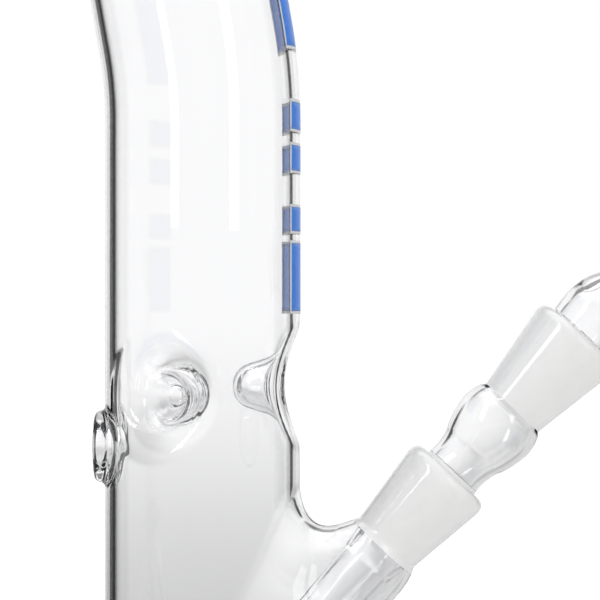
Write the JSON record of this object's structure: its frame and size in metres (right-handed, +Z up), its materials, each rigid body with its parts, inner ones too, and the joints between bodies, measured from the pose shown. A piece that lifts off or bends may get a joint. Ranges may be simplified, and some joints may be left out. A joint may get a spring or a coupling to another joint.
{
  "type": "glass water pipe",
  "caption": "Clear glass water pipe: bent tube with ice pinches on a round foot, side arm with ground joints, lift-off bulbed adapter and bowl.",
  "frame": {"origin": "centre of the foot's underside", "axes": "+Z up along the chamber's axis; +X towards the side arm, in the plane of the neck's bend"},
  "size_m": [0.2214, 0.11, 0.4235],
  "materials": {
    "clear_glass": "clear fire-polished borosilicate",
    "ground_glass": "clear outside, ground taper",
    "screen_steel": "pierced stainless sheet",
    "print_blue": "fired enamel print",
    "print_pale": "fired enamel print"
  },
  "bodies": {
    "pipe": {"chamber_tube": "clear_glass", "neck_tube": "clear_glass", "foot": "clear_glass", "mouth_lip": "clear_glass", "carb_boss": "clear_glass", "side_arm": "clear_glass", "arm_socket": "ground_glass", "inner_stem": "clear_glass", "print_bars": "print_blue", "print_borders": "print_pale"},
    "adapter": {"adapter_cone": "ground_glass", "adapter_bulb": "clear_glass", "adapter_socket": "ground_glass"},
    "bowl": {"bowl_cone": "ground_glass", "bowl_neck": "clear_glass", "bowl_cup": "clear_glass", "bowl_handle": "clear_glass"},
    "screen": {"bowl_screen": "screen_steel"}
  },
  "joints": [
    {"name": "adapter_lift", "type": "slide", "parent": "pipe", "child": "adapter", "axis": [0.682, 0, 0.7314], "range_m": [0, 0.06]},
    {"name": "bowl_lift", "type": "slide", "parent": "adapter", "child": "bowl", "axis": [0.682, 0, 0.7314], "range_m": [0, 0.06]},
    {"name": "screen_lift", "type": "slide", "parent": "bowl", "child": "screen", "axis": [0.682, 0, 0.7314], "range_m": [0, 0.04]}
  ]
}
